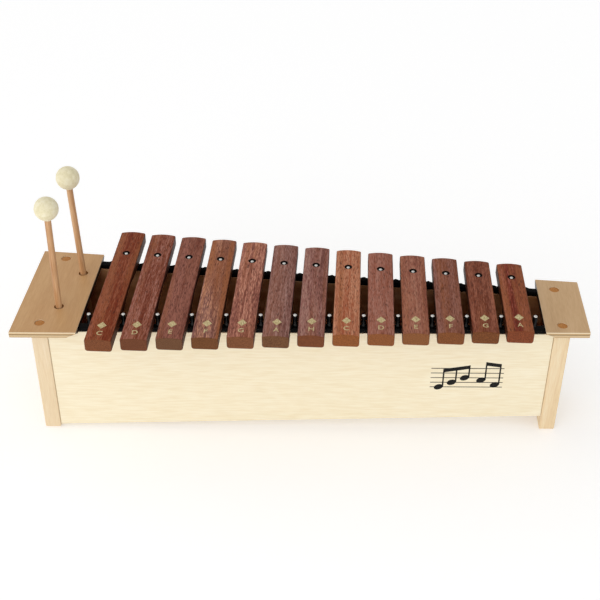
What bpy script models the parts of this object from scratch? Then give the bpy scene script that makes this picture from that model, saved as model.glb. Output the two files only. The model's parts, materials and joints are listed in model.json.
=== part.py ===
"""A box xylophone with thirteen lift-off rosewood bars, and two felt mallets that stand in its left plate.

The frame: +X runs along the row from the long bars to the short ones, +Y away from the player, +Z up.
The origin is on the table, under the centre of the bounding box. All sizes are in metres.
"""

import math

import bmesh
import bpy
from mathutils import Matrix, Vector

# Row of bars
BAR_NAMES = ("c", "d", "e", "f", "g", "a", "h", "c", "d", "e", "f", "g", "a")
BAR_PITCH = 0.042
BAR_WIDTH = 0.0325
BAR_THICKNESS = 0.018
BAR_CROWN = 0.0012
LONGEST_BAR = 0.245
SHORTEST_BAR = 0.150
BAR_ARRIS = 0.0015
DEEPEST_ARCH = 0.0075
SHALLOWEST_ARCH = 0.0030
ARCH_SHARE = 0.50
PIN_HOLE_RADIUS = 0.0045
ROW_CENTRE = 0.014

# Box: its long walls close in towards the short bars by TAPER metres a side for each metre of length
OVERALL_LENGTH = 0.710
TAPER = 0.052
WALL_TOP = 0.154
WALL_HALF_DEPTH = 0.0605
WALL_THICKNESS = 0.010
END_THICKNESS = 0.020
END_PROUD = 0.0015
LEFT_END_INNER = -0.312
RIGHT_END_INNER = 0.3126
WALL_FOOT_LEFT = 0.004
WALL_FOOT_RIGHT = 0.022
BOTTOM_RECESS = 0.003
BOTTOM_THICKNESS = 0.006
DIVIDER_THICKNESS = 0.006
DIVIDER_TOP_DROP = 0.025
ARRIS = 0.001

# Top plates
PLATE_THICKNESS = 0.008
PLATE_HALF_DEPTH = 0.0735
LEFT_PLATE_WIDTH = 0.082
RIGHT_PLATE_WIDTH = 0.0545
RIGHT_PLATE_SETBACK = 0.0055
PLATE_UNDERCUT_ALONG = 0.013
PLATE_UNDERCUT_BACK = 0.010
PLATE_LIP = 0.0018

# Foam rails and bar pins, both on the centre line of a long wall
FOAM_HEIGHT = 0.0067
FOAM_WIDTH = 0.0096
PIN_TOP = 0.179
PIN_HEAD_RADIUS = 0.0025
PIN_HEAD_HEIGHT = 0.0016
PIN_SHANK_RADIUS = 0.0015
PIN_SLEEVE_RADIUS = 0.0030
PIN_BITE = 0.014
PIN_SIDES = 12

# Cover plugs, each with the wood screw under it
PLUG_RADIUS = 0.0062
PLUG_DEPTH = 0.0045
PLUG_RECESS = 0.0007
PLUG_SETBACK = 0.0028
SCREW_RADIUS = 0.0018
SCREW_BITE = 0.024

# Mallets
MALLET_HOLE_RADIUS = 0.0060
STICK_RADIUS = 0.0040
HEAD_RADIUS = 0.0148
HEAD_CENTRE_HEIGHT = 0.304
HEAD_SOCKET_DEPTH = 0.018
MALLETS = (
    # name, x and y of its hole, lean towards +X in degrees
    ("front", -0.306, -0.0345, 0.7),
    ("rear", -0.2915, 0.042, -1.8),
)

GAP = 0.0003
DRILL_OVERRUN = 0.010
BAR_TOP = WALL_TOP + FOAM_HEIGHT + GAP + BAR_THICKNESS
PLATE_BOTTOM = WALL_TOP + GAP
PLATE_TOP = PLATE_BOTTOM + PLATE_THICKNESS


def taper_line(half_depth, x):
    """Distance from the centre line to an edge that follows the box's taper, at x."""
    return half_depth - TAPER * (x - ROW_CENTRE)


def pin_line(x):
    """Distance from the centre line to the pins, which stand on the middle of each long wall's top edge."""
    return taper_line(WALL_HALF_DEPTH - WALL_THICKNESS / 2, x)


def wall_foot(x):
    """Height of the long walls' lower edge, which rises towards the short bars."""
    share = (x - LEFT_END_INNER) / (RIGHT_END_INNER - LEFT_END_INNER)
    return WALL_FOOT_LEFT + share * (WALL_FOOT_RIGHT - WALL_FOOT_LEFT)


def bottom_top(x):
    """Height of the bottom board's upper face."""
    return wall_foot(x) + BOTTOM_RECESS + BOTTOM_THICKNESS


def bar_centre(index):
    return ROW_CENTRE + (index - (len(BAR_NAMES) - 1) / 2) * BAR_PITCH


def bar_share(index):
    """0 at the longest bar, 1 at the shortest."""
    return index / (len(BAR_NAMES) - 1)


def material(name, colour, roughness, metallic=0.0):
    made = bpy.data.materials.new(name)
    made.use_nodes = True
    shader = made.node_tree.nodes["Principled BSDF"]
    shader.inputs["Base Color"].default_value = (*colour, 1.0)
    shader.inputs["Roughness"].default_value = roughness
    shader.inputs["Metallic"].default_value = metallic
    made.diffuse_color = (*colour, 1.0)
    return made


def add_object(name, shape, finish, location=(0, 0, 0)):
    """Turns a bmesh into a scene object with one material."""
    mesh = bpy.data.meshes.new(name)
    bmesh.ops.recalc_face_normals(shape, faces=shape.faces)
    shape.to_mesh(mesh)
    shape.free()
    mesh.materials.append(finish)
    made = bpy.data.objects.new(name, mesh)
    made.location = location
    bpy.context.scene.collection.objects.link(made)
    return made


def slab_shape(outline, low, high):
    """The bmesh of a board with a plan outline, between the heights low(x) and high(x)."""
    shape = bmesh.new()
    floor = [shape.verts.new((x, y, low(x))) for x, y in outline]
    roof = [shape.verts.new((x, y, high(x))) for x, y in outline]
    shape.faces.new(floor)
    shape.faces.new(roof)
    for i in range(len(outline)):
        j = (i + 1) % len(outline)
        shape.faces.new((floor[i], floor[j], roof[j], roof[i]))
    return shape


def slab(name, outline, low, high, finish):
    return add_object(name, slab_shape(outline, low, high), finish)


def turned(name, profile, finish, sides):
    """A solid of revolution about Z, from (radius, height) points that start and end on the axis."""
    shape = bmesh.new()
    points = [shape.verts.new((radius, 0, height)) for radius, height in profile]
    edges = [shape.edges.new(pair) for pair in zip(points, points[1:])]
    bmesh.ops.spin(
        shape,
        geom=points + edges,
        cent=(0, 0, 0),
        axis=(0, 0, 1),
        angle=2 * math.pi,
        steps=sides,
        use_merge=True,
    )
    bmesh.ops.remove_doubles(shape, verts=shape.verts, dist=1e-6)
    made = add_object(name, shape, finish)
    made.data.shade_smooth()
    made.data.set_sharp_from_angle(angle=math.radians(35))
    return made


def soften(board, width=ARRIS):
    """Breaks the sharp edges of a board."""
    bevel = board.modifiers.new("arris", "BEVEL")
    bevel.width = width
    bevel.segments = 1
    bevel.limit_method = "ANGLE"
    bevel.angle_limit = math.radians(40)


def drill(board, cutter_name, radius, low, high, places, sides=16):
    """Cuts upright round holes, all of one size, through the heights low to high."""
    shape = bmesh.new()
    for x, y in places:
        bmesh.ops.create_cone(
            shape,
            cap_ends=True,
            segments=sides,
            radius1=radius,
            radius2=radius,
            depth=high - low,
            matrix=Matrix.Translation((x, y, (low + high) / 2)),
        )
    cutter = add_object(cutter_name, shape, board.data.materials[0])
    cutter.hide_render = True
    cutter.display_type = "WIRE"
    cut = board.modifiers.new(cutter_name, "BOOLEAN")
    cut.operation = "DIFFERENCE"
    cut.solver = "EXACT"
    cut.object = cutter


# Box


def long_wall(name, side, finish):
    """A long wall between the end boards; side is -1 at the front and 1 at the rear."""
    left = LEFT_END_INNER + GAP
    right = RIGHT_END_INNER - GAP
    outer = WALL_HALF_DEPTH
    inner = WALL_HALF_DEPTH - WALL_THICKNESS
    outline = [
        (left, side * taper_line(outer, left)),
        (right, side * taper_line(outer, right)),
        (right, side * taper_line(inner, right)),
        (left, side * taper_line(inner, left)),
    ]
    return slab(name, outline, wall_foot, lambda x: WALL_TOP, finish)


def end_board(name, inner_x, outward, finish):
    """A thick upright board that the box stands on; outward is -1 at the left end and 1 at the right."""
    outer_x = inner_x + outward * END_THICKNESS
    front_to_rear = [
        (x, side * taper_line(WALL_HALF_DEPTH + END_PROUD, x))
        for side, ends in ((-1, (inner_x, outer_x)), (1, (outer_x, inner_x)))
        for x in ends
    ]
    board = slab(name, front_to_rear, lambda x: 0.0, lambda x: WALL_TOP, finish)
    soften(board)
    return board


def box_floor(finish):
    """The sloping bottom board, between the walls and the end boards."""
    left = LEFT_END_INNER + GAP
    right = RIGHT_END_INNER - GAP
    half = WALL_HALF_DEPTH - WALL_THICKNESS - GAP
    outline = [
        (left, -taper_line(half, left)),
        (right, -taper_line(half, right)),
        (right, taper_line(half, right)),
        (left, taper_line(half, left)),
    ]
    return slab("bottom_board", outline, lambda x: wall_foot(x) + BOTTOM_RECESS, bottom_top, finish)


def divider(finish):
    """An upright board that parts the resonance box into two chambers, between the fifth and sixth bars."""
    centre = (bar_centre(4) + bar_centre(5)) / 2
    left = centre - DIVIDER_THICKNESS / 2
    right = centre + DIVIDER_THICKNESS / 2
    half = WALL_HALF_DEPTH - WALL_THICKNESS - GAP
    outline = [
        (left, -taper_line(half, left)),
        (right, -taper_line(half, right)),
        (right, taper_line(half, right)),
        (left, taper_line(half, left)),
    ]
    top = WALL_TOP - DIVIDER_TOP_DROP
    return slab("divider_board", outline, lambda x: bottom_top(x) + GAP, lambda x: top, finish)


# Top plates


def undercut(shape, corner, along, back):
    """Slices off a corner's underside, from its lip out to the ends of the steps along and back."""
    lip = corner + Vector((0, 0, PLATE_TOP - PLATE_LIP))
    foot_along = corner + along + Vector((0, 0, PLATE_BOTTOM))
    foot_back = corner + back + Vector((0, 0, PLATE_BOTTOM))
    normal = (foot_along - lip).cross(foot_back - lip)
    if normal.z > 0:
        normal.negate()
    whole = shape.verts[:] + shape.edges[:] + shape.faces[:]
    cut = bmesh.ops.bisect_plane(shape, geom=whole, plane_co=lip, plane_no=normal, clear_outer=True)
    rim = [edge for edge in cut["geom_cut"] if isinstance(edge, bmesh.types.BMEdge)]
    bmesh.ops.contextual_create(shape, geom=rim)


def top_plate(name, outer_x, inner_x, setback, finish):
    """A plate that overhangs its end board, cut away under the two corners beside the bars."""
    outward = -1 if inner_x > outer_x else 1

    def edge(x, side):
        return Vector((x, setback + side * taper_line(PLATE_HALF_DEPTH, x), 0))

    corners = ((outer_x, -1), (inner_x, -1), (inner_x, 1), (outer_x, 1))
    outline = [(x, edge(x, side).y) for x, side in corners]
    shape = slab_shape(outline, lambda x: PLATE_BOTTOM, lambda x: PLATE_TOP)
    foot_x = inner_x + outward * PLATE_UNDERCUT_ALONG
    for side in (-1, 1):
        corner = edge(inner_x, side)
        undercut(shape, corner, edge(foot_x, side) - corner, Vector((0, -side * PLATE_UNDERCUT_BACK, 0)))
    plate = add_object(name, shape, finish)
    soften(plate)
    return plate


def plate_fixings(end_name, end_middle, plate, board, finish):
    """Two wooden cover plugs sunk in the plate, each one solid with the screw that holds the plate down."""
    places = [(end_middle, PLUG_SETBACK + side * pin_line(end_middle)) for side in (-1, 1)]
    plug_floor = PLATE_TOP - PLUG_DEPTH
    screw_tip = PLATE_BOTTOM - SCREW_BITE
    hole = PLUG_RADIUS + GAP
    drill(plate, end_name + "_plug_cutter", hole, plug_floor - GAP, PLATE_TOP + DRILL_OVERRUN, places)
    clearance = SCREW_RADIUS + GAP
    under_plate = PLATE_BOTTOM - DRILL_OVERRUN
    drill(plate, end_name + "_screw_clearance_cutter", clearance, under_plate, PLATE_TOP, places)
    above_board = WALL_TOP + DRILL_OVERRUN
    drill(board, end_name + "_screw_cutter", clearance, screw_tip - GAP, above_board, places)
    profile = [
        (0, screw_tip),
        (SCREW_RADIUS * 0.4, screw_tip),
        (SCREW_RADIUS, screw_tip + 2 * SCREW_RADIUS),
        (SCREW_RADIUS, plug_floor),
        (PLUG_RADIUS, plug_floor),
        (PLUG_RADIUS, PLATE_TOP - PLUG_RECESS),
        (0, PLATE_TOP - PLUG_RECESS),
    ]
    for (x, y), place in zip(places, ("front", "rear")):
        plug = turned(f"{end_name}_{place}_plug", profile, finish, 16)
        plug.location = (x, y, 0)


# Foam rails and pins


def foam_rail(name, side, left, right, finish):
    """A foam strip on a long wall's top edge, which the bars lie on at their nodes."""
    middle = WALL_HALF_DEPTH - WALL_THICKNESS / 2
    outline = [
        (left, side * taper_line(middle + FOAM_WIDTH / 2, left)),
        (right, side * taper_line(middle + FOAM_WIDTH / 2, right)),
        (right, side * taper_line(middle - FOAM_WIDTH / 2, right)),
        (left, side * taper_line(middle - FOAM_WIDTH / 2, left)),
    ]
    low = WALL_TOP + GAP
    return slab(name, outline, lambda x: low, lambda x: WALL_TOP + FOAM_HEIGHT, finish)


def pin_profile():
    """Round nail in a soft sleeve: a bare shank in the wood, the sleeve above it, and a domed head."""
    shank_foot = WALL_TOP - PIN_BITE
    sleeve_foot = WALL_TOP + GAP
    head_foot = PIN_TOP - PIN_HEAD_HEIGHT
    return [
        (0, shank_foot),
        (PIN_SHANK_RADIUS * 0.5, shank_foot),
        (PIN_SHANK_RADIUS, shank_foot + PIN_SHANK_RADIUS),
        (PIN_SHANK_RADIUS, sleeve_foot),
        (PIN_SLEEVE_RADIUS, sleeve_foot),
        (PIN_SLEEVE_RADIUS, head_foot - PIN_SLEEVE_RADIUS * 0.3),
        (PIN_HEAD_RADIUS, head_foot),
        (PIN_HEAD_RADIUS * 0.75, PIN_TOP - PIN_HEAD_HEIGHT * 0.25),
        (0, PIN_TOP),
    ]


def pin_row(row_name, side, places_x, wall, rail, finish):
    """Pins along one wall, with their holes through the foam and into the wall."""
    places = [(x, side * pin_line(x)) for x in places_x]
    sleeve_hole = PIN_SLEEVE_RADIUS + GAP
    shank_hole = PIN_SHANK_RADIUS + GAP
    hole_floor = WALL_TOP - PIN_BITE - GAP
    under_rail = WALL_TOP - DRILL_OVERRUN
    above_rail = WALL_TOP + FOAM_HEIGHT + DRILL_OVERRUN
    drill(rail, row_name + "_sleeve_cutter", sleeve_hole, under_rail, above_rail, places, 12)
    drill(wall, row_name + "_shank_cutter", shank_hole, hole_floor, WALL_TOP + DRILL_OVERRUN, places, 8)
    first = turned(f"{row_name}_01", pin_profile(), finish, PIN_SIDES)
    first.location = (*places[0], 0)
    for number, (x, y) in enumerate(places[1:], start=2):
        copy = bpy.data.objects.new(f"{row_name}_{number:02d}", first.data)
        copy.location = (x, y, 0)
        bpy.context.scene.collection.objects.link(copy)


# Bars


def bar_section(inset, underside):
    """Cross-section of a bar as (x, z) points: a flat underside, upright sides and a crowned top."""
    half = BAR_WIDTH / 2 - inset
    shoulder = BAR_THICKNESS - BAR_CROWN - inset
    arris = BAR_ARRIS
    points = [
        (-half, underside + arris),
        (-half + arris, underside),
        (half - arris, underside),
        (half, underside + arris),
        (half, shoulder - arris),
        (half - 0.3 * arris, shoulder - 0.3 * arris),
    ]
    for share in (0.9, 0.5, 0.0, -0.5, -0.9):
        points.append((share * half, shoulder + BAR_CROWN * (1 - share * share)))
    points += [(-half + 0.3 * arris, shoulder - 0.3 * arris), (-half, shoulder - arris)]
    return points


def arch_height(y, length, depth):
    """Height of the underside at y: the tuner's arch is a cosine hump over the middle of the bar."""
    reach = length * ARCH_SHARE / 2
    if abs(y) >= reach:
        return 0.0
    return depth * (1 + math.cos(math.pi * y / reach)) / 2


def bar(index, finish):
    """One bar, with the tuner's arch under it and a hole for its rear pin."""
    share = bar_share(index)
    length = LONGEST_BAR + share * (SHORTEST_BAR - LONGEST_BAR)
    depth = DEEPEST_ARCH + share * (SHALLOWEST_ARCH - DEEPEST_ARCH)
    reach = length * ARCH_SHARE / 2
    stations = [(-length / 2, ARRIS), (-length / 2 + ARRIS, 0)]
    stations += [(reach * step / 5, 0) for step in range(-5, 6)]
    stations += [(length / 2 - ARRIS, 0), (length / 2, ARRIS)]
    shape = bmesh.new()
    rings = [
        [shape.verts.new((x, y, z)) for x, z in bar_section(inset, inset + arch_height(y, length, depth))]
        for y, inset in stations
    ]
    shape.faces.new(rings[0])
    shape.faces.new(rings[-1])
    for near, far in zip(rings, rings[1:]):
        for i in range(len(near)):
            j = (i + 1) % len(near)
            shape.faces.new((near[i], near[j], far[j], far[i]))
    name = f"bar_{index + 1:02d}_{BAR_NAMES[index]}"
    x = bar_centre(index)
    made = add_object(name, shape, finish, (x, 0, BAR_TOP - BAR_THICKNESS))
    under_bar = BAR_TOP - BAR_THICKNESS - DRILL_OVERRUN
    above_bar = BAR_TOP + DRILL_OVERRUN
    drill(made, name + "_hole_cutter", PIN_HOLE_RADIUS, under_bar, above_bar, [(x, pin_line(x))])
    made.data.shade_smooth()
    made.data.set_sharp_from_angle(angle=math.radians(30))


# Mallets


def ball_profile():
    """Felt ball about the mallet's own zero, with a blind socket for the stick from below."""
    socket = STICK_RADIUS + GAP
    start = math.asin(socket / HEAD_RADIUS)
    steps = 12
    arc = [start + (math.pi - start) * step / steps for step in range(steps + 1)]
    points = [(HEAD_RADIUS * math.sin(turn), -HEAD_RADIUS * math.cos(turn)) for turn in arc]
    points[-1] = (0, HEAD_RADIUS)
    roof = -HEAD_RADIUS + HEAD_SOCKET_DEPTH
    return [(0, roof), (socket, roof), *points]


def stick_profile(foot):
    """Round stick from its rounded foot to its end inside the ball."""
    top = -HEAD_RADIUS + HEAD_SOCKET_DEPTH - GAP
    rounding = STICK_RADIUS * 0.4
    return [
        (0, foot),
        (STICK_RADIUS - rounding, foot),
        (STICK_RADIUS, foot + rounding),
        (STICK_RADIUS, top),
        (0, top),
    ]


def mallet(name, x, y, lean, stick_finish, head_finish):
    """A mallet that stands in its hole; its empty lies at the ball's centre, with Z along the stick."""
    tilt = math.radians(lean)
    head_x = x + (HEAD_CENTRE_HEIGHT - PLATE_TOP) * math.tan(tilt)
    foot_x = x - (PLATE_TOP - bottom_top(x)) * math.tan(tilt)
    reach = (HEAD_CENTRE_HEIGHT - bottom_top(foot_x)) / math.cos(tilt)
    axis = bpy.data.objects.new(name + "_axis", None)
    axis.location = (head_x, y, HEAD_CENTRE_HEIGHT)
    axis.rotation_euler = (0, tilt, 0)
    bpy.context.scene.collection.objects.link(axis)
    clear_of_floor = 2 * GAP
    turned(name + "_stick", stick_profile(clear_of_floor - reach), stick_finish, 20).parent = axis
    turned(name + "_head", ball_profile(), head_finish, 28).parent = axis


def build():
    for old in list(bpy.data.objects):
        bpy.data.objects.remove(old)

    wall_ply = material("birch_plywood", (0.86, 0.78, 0.60), 0.45)
    board_wood = material("beech_board", (0.84, 0.70, 0.50), 0.45)
    plate_ply = material("plate_plywood", (0.58, 0.40, 0.22), 0.40)
    rosewood = material("rosewood", (0.17, 0.055, 0.030), 0.45)
    plug_wood = material("plug_wood", (0.40, 0.20, 0.07), 0.55)
    stick_wood = material("stick_beech", (0.66, 0.39, 0.20), 0.40)
    felt = material("felt", (0.83, 0.80, 0.58), 0.95)
    foam = material("black_foam", (0.012, 0.012, 0.013), 0.90)
    steel = material("nickelled_steel", (0.65, 0.65, 0.67), 0.25, 1.0)

    front_wall = long_wall("front_wall", -1, wall_ply)
    rear_wall = long_wall("rear_wall", 1, wall_ply)
    left_end = end_board("left_end_board", LEFT_END_INNER, -1, board_wood)
    right_end = end_board("right_end_board", RIGHT_END_INNER, 1, board_wood)
    box_floor(wall_ply)
    divider(wall_ply)

    left_outer = -OVERALL_LENGTH / 2
    left_inner = left_outer + LEFT_PLATE_WIDTH
    right_outer = OVERALL_LENGTH / 2
    right_inner = right_outer - RIGHT_PLATE_WIDTH
    left_plate = top_plate("left_top_plate", left_outer, left_inner, 0, plate_ply)
    right_plate = top_plate("right_top_plate", right_outer, right_inner, RIGHT_PLATE_SETBACK, plate_ply)
    plate_fixings("left", LEFT_END_INNER - END_THICKNESS / 2, left_plate, left_end, plug_wood)
    plate_fixings("right", RIGHT_END_INNER + END_THICKNESS / 2, right_plate, right_end, plug_wood)
    holes = [(x, y) for _, x, y, _ in MALLETS]
    under_plate = PLATE_BOTTOM - DRILL_OVERRUN
    above_plate = PLATE_TOP + DRILL_OVERRUN
    drill(left_plate, "mallet_hole_cutter", MALLET_HOLE_RADIUS, under_plate, above_plate, holes, 24)

    front_rail = foam_rail("front_foam_rail", -1, left_inner + GAP, right_inner - GAP, foam)
    rear_rail = foam_rail("rear_foam_rail", 1, left_inner + GAP, right_inner - GAP, foam)
    beside_bars = [bar_centre(index - 0.5) for index in range(len(BAR_NAMES) + 1)]
    under_bars = [bar_centre(index) for index in range(len(BAR_NAMES))]
    pin_row("front_pin", -1, beside_bars, front_wall, front_rail, steel)
    pin_row("rear_pin", 1, under_bars, rear_wall, rear_rail, steel)

    for index in range(len(BAR_NAMES)):
        bar(index, rosewood)
    for place, x, y, lean in MALLETS:
        mallet(place + "_mallet", x, y, lean, stick_wood, felt)


build()
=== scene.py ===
# %% [markdown]
# # A box xylophone with thirteen rosewood bars
# The real instrument is a shallow wooden box that resounds, with loose bars laid across its two long walls on
# strips of foam, and two felt mallets that stand in holes of the left top plate. The frame already holds every
# part as a plain solid. Here each one is made again as a finished surface, in the same place.

# %% The fixed frame
import json
import math

import bmesh
import bpy
import numpy as np
from mathutils import Matrix, Vector


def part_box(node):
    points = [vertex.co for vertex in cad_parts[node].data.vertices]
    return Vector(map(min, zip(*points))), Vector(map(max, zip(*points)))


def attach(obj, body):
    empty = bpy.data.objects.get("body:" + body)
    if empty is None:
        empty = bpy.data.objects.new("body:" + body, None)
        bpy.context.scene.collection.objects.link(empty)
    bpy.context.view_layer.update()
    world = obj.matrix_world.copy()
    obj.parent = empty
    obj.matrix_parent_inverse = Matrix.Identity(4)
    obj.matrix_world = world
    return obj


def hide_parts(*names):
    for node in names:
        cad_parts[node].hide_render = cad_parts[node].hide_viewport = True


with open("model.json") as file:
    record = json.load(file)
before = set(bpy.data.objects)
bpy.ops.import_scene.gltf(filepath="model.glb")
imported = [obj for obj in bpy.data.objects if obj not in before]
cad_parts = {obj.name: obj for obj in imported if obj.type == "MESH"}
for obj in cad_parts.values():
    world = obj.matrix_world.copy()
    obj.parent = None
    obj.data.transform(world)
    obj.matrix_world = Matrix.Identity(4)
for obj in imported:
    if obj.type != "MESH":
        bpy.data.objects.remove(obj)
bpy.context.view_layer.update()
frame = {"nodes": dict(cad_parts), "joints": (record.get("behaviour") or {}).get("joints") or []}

# %% [markdown]
# ## Sizes
# Every position below comes from the boxes of the CAD nodes. The box of the instrument gets narrower towards
# the short bars, so a straight line through the front pins gives its taper, and every long edge keeps a fixed
# distance from that line.

# %% The bars and the tapering line of pins
MM = 0.001
BAR_NAMES = sorted(name for name in frame["nodes"] if name.startswith("bar_"))
bar_boxes = [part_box(name) for name in BAR_NAMES]
BAR_X = np.array([(low.x + high.x) / 2 for low, high in bar_boxes])
BAR_LENGTH = np.array([high.y - low.y for low, high in bar_boxes])
BAR_HALF_WIDTH = (bar_boxes[0][1].x - bar_boxes[0][0].x) / 2
BAR_BOTTOM, BAR_TOP = bar_boxes[0][0].z, bar_boxes[0][1].z
PITCH = BAR_X[1] - BAR_X[0]
PIN_NAMES = sorted(name for name in frame["nodes"] if "_pin_" in name)
# Two rows of pins, and the side of the middle line, as the sign of y, on which each stands
ROWS = {"front": -1, "rear": 1}


def middle_of(name):
    """Middle of the box of a CAD node."""
    low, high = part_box(name)
    return (low + high) / 2


PIN_PLACES = {name: middle_of(name) for name in PIN_NAMES}
ROW_PINS = {row: [PIN_PLACES[name] for name in PIN_NAMES if name.startswith(row)] for row in ROWS}
TAPER, PIN_LINE_AT_ZERO = np.polyfit(*zip(*[(p.x, -p.y) for p in ROW_PINS["front"]]), 1)


def long_edge(x, out=0.0):
    """Distance from the middle line to the pins' line at x, a straight line, plus a fixed distance outwards."""
    return PIN_LINE_AT_ZERO + TAPER * x + out


print(f"{len(BAR_NAMES)} bars at {1000 * PITCH:.1f} mm, walls close in by {-1000 * TAPER:.0f} mm a metre")

# %% [markdown]
# ## Camera and light
# The instrument is seen from above the front, a little from the right. The light is the flat light of a pale
# tent: one white surround, and one large soft lamp in front to the left that leaves the top a little darker
# than the front panel.

# %% Camera
camera = bpy.data.objects.new("camera", bpy.data.cameras.new("camera"))
camera.data.lens = 66.67
camera.data.sensor_width = 36
camera.matrix_world = (
    Matrix.Translation((0.0542, -1.1577, 0.9729))
    @ Matrix.Rotation(math.radians(2.877), 4, "Z")
    @ Matrix.Rotation(math.radians(54.99), 4, "X")
    @ Matrix.Rotation(math.radians(0.382), 4, "Z")
)
bpy.context.scene.collection.objects.link(camera)
bpy.context.scene.camera = camera
bpy.context.scene.view_settings.view_transform = "Standard"
print("camera stands", round((camera.location - Vector((0, 0, 0.1))).length, 2), "m away")

# %% [markdown]
# Colours are written as the hex codes of paint cards. The renderer adds light in linear values, so one function
# turns them. Another adds a node with its settings and its links, and every finish is built with it.

# %% Colours and nodes


def linear(code):
    """Hex to linear: a channel c over 0.04045 is ((c + 0.055) / 1.055) to the power 2.4, others c / 12.92."""
    channel = np.array([int(code[i : i + 2], 16) for i in (1, 3, 5)]) / 255
    bright = ((channel + 0.055) / 1.055) ** 2.4
    return (*np.where(channel > 0.04045, bright, channel / 12.92).tolist(), 1.0)


def fill(node, sockets):
    """Fills a node's inputs with values or links. A node given as a value stands for its first output."""
    for key, value in dict(sockets).items():
        if isinstance(value, bpy.types.Node):
            value = value.outputs[0]
        if isinstance(value, bpy.types.NodeSocket):
            node.id_data.links.new(value, node.inputs[key])
        else:
            node.inputs[key].default_value = value


def add_node(tree, kind, sockets=(), stops=(), **settings):
    """Adds a node: settings are its properties, sockets its inputs, stops a ramp's places and colours."""
    node = tree.nodes.new("ShaderNode" + kind)
    for name, value in settings.items():
        setattr(node, name, value)
    fill(node, sockets)
    for number, (place, code) in enumerate(stops):
        ramp = node.color_ramp.elements
        stop = ramp[number] if number < len(ramp) else ramp.new(1.0)
        stop.position = place
        stop.color = linear(code)
    return node


print("pale panel in linear light:", [round(value, 3) for value in linear("#f3e6c7")[:3]])

# %% Surround, lamp and floor
SURROUND, UNEVEN = 0.80, 0.30
LAMP_WATTS = 5.0
world = bpy.data.worlds.new("pale_tent")
bpy.context.scene.world = world
world.use_nodes = True
tent = world.node_tree
# The tent is brighter on the lamp's side: its strength follows how far a direction turns towards the left front
towards = add_node(tent, "TexCoord").outputs["Generated"]
turned_left = add_node(tent, "VectorMath", {0: towards, 1: (-0.87, -0.5, 0.0)}, operation="DOT_PRODUCT")
turned_left = turned_left.outputs["Value"]
tent_range = {0: turned_left, 1: -1.0, 2: 1.0, 3: SURROUND - UNEVEN, 4: SURROUND + UNEVEN}
strength = add_node(tent, "MapRange", tent_range)
fill(tent.nodes["Background"], {"Color": linear("#ffffff"), "Strength": strength})
lamp = bpy.data.objects.new("front_lamp", bpy.data.lights.new("front_lamp", "AREA"))
lamp.data.shape = "SQUARE"
lamp.data.size = 1.1
lamp.data.energy = LAMP_WATTS
lamp_place = Vector((-0.75, -1.75, 0.62))
aim = (Vector((0, 0, 0.1)) - lamp_place).to_track_quat("-Z", "Y")
lamp.matrix_world = Matrix.Translation(lamp_place) @ aim.to_matrix().to_4x4()
bpy.context.scene.collection.objects.link(lamp)

floor_mesh = bpy.data.meshes.new("floor")
corners = 4.0 * np.array([(-1, -1), (1, -1), (1, 1), (-1, 1)])
floor_mesh.from_pydata(np.column_stack([corners, np.full(4, -0.2 * MM)]).tolist(), [], [(0, 1, 2, 3)])
floor = bpy.data.objects.new("floor", floor_mesh)
bpy.context.scene.collection.objects.link(floor)
paper = bpy.data.materials.new("white_paper")
paper.use_nodes = True
paper_look = {"Base Color": linear("#f6f6f6"), "Roughness": 0.9, "Specular IOR Level": 0.1}
paper_glow = {"Emission Color": linear("#ffffff"), "Emission Strength": 0.25}
fill(paper.node_tree.nodes["Principled BSDF"], {**paper_look, **paper_glow})
floor_mesh.materials.append(paper)
print("lamp", round((lamp_place - Vector((0, 0, 0.1))).length, 2), "m from the box")

# %% [markdown]
# ## Finishes
# Every finish starts from the place on the piece, and ends with a colour, a roughness that follows some grain
# and often a relief. The plain ones are mottled by a single noise.

# %% What the finishes share


def new_finish(name):
    """A new material, its node tree, and the link that carries the place on a piece."""
    finish = bpy.data.materials.new(name)
    finish.use_nodes = True
    return finish, finish.node_tree, add_node(finish.node_tree, "TexCoord").outputs["Object"]


def surface(tree, colour, grain, gloss, spread=(0.3, 0.7), relief=None, extra=()):
    """Wires a finish: colour, roughness over the spread of a grain, relief (height, strength, depth)."""
    rough = add_node(tree, "MapRange", {0: grain, 1: spread[0], 2: spread[1], 3: gloss[0], 4: gloss[1]})
    wiring = {"Base Color": colour, "Roughness": rough, **dict(extra)}
    if relief:
        wiring["Normal"] = add_node(tree, "Bump", dict(zip(("Height", "Strength", "Distance"), relief)))
    fill(tree.nodes["Principled BSDF"], wiring)


def mottled(name, kind, noise, stops, gloss, squeeze=None, relief=None, **rest):
    """A finish mottled by one noise, which picks its colour, its roughness and any relief."""
    finish, tree, place = new_finish(name)
    if squeeze:
        place = add_node(tree, "Mapping", {"Vector": place, "Scale": squeeze})
    mottle = add_node(tree, kind, {"Vector": place, **noise})
    colour = add_node(tree, "ValToRGB", {0: mottle}, stops)
    surface(tree, colour, mottle, gloss, relief=relief and (mottle, *relief), **rest)
    return finish


def summed(tree, parts):
    """Sum of several links or nodes, each times its share."""
    total = 0.0
    for value, share in parts:
        total = add_node(tree, "Math", {0: value, 1: share, 2: total}, operation="MULTIPLY_ADD")
    return total


def distance_from(tree, place, axis, at=0.0):
    """Distance of the place on a piece from the plane where one coordinate equals at."""
    part = add_node(tree, "SeparateXYZ", {0: place}).outputs[axis]
    off = add_node(tree, "Math", {0: part, 1: at}, operation="SUBTRACT")
    return add_node(tree, "Math", {0: off}, operation="ABSOLUTE")


DULL = {"Specular IOR Level": 0.12}
LACQUER = {"IOR": 1.5}
print("lacquer has", LACQUER, "and oiled wood", DULL)

# %% [markdown]
# ## Shapes
# Nearly everything here is a ring of points carried along a line: a board is a rounded rectangle carried up or
# along, a bar is its cross-section carried from end to end, and a pin is a circle whose radius changes. So one
# function makes the faces over a stack of rings, and another turns the finished mesh into a piece.

# %% Faces over a stack of rings


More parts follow.
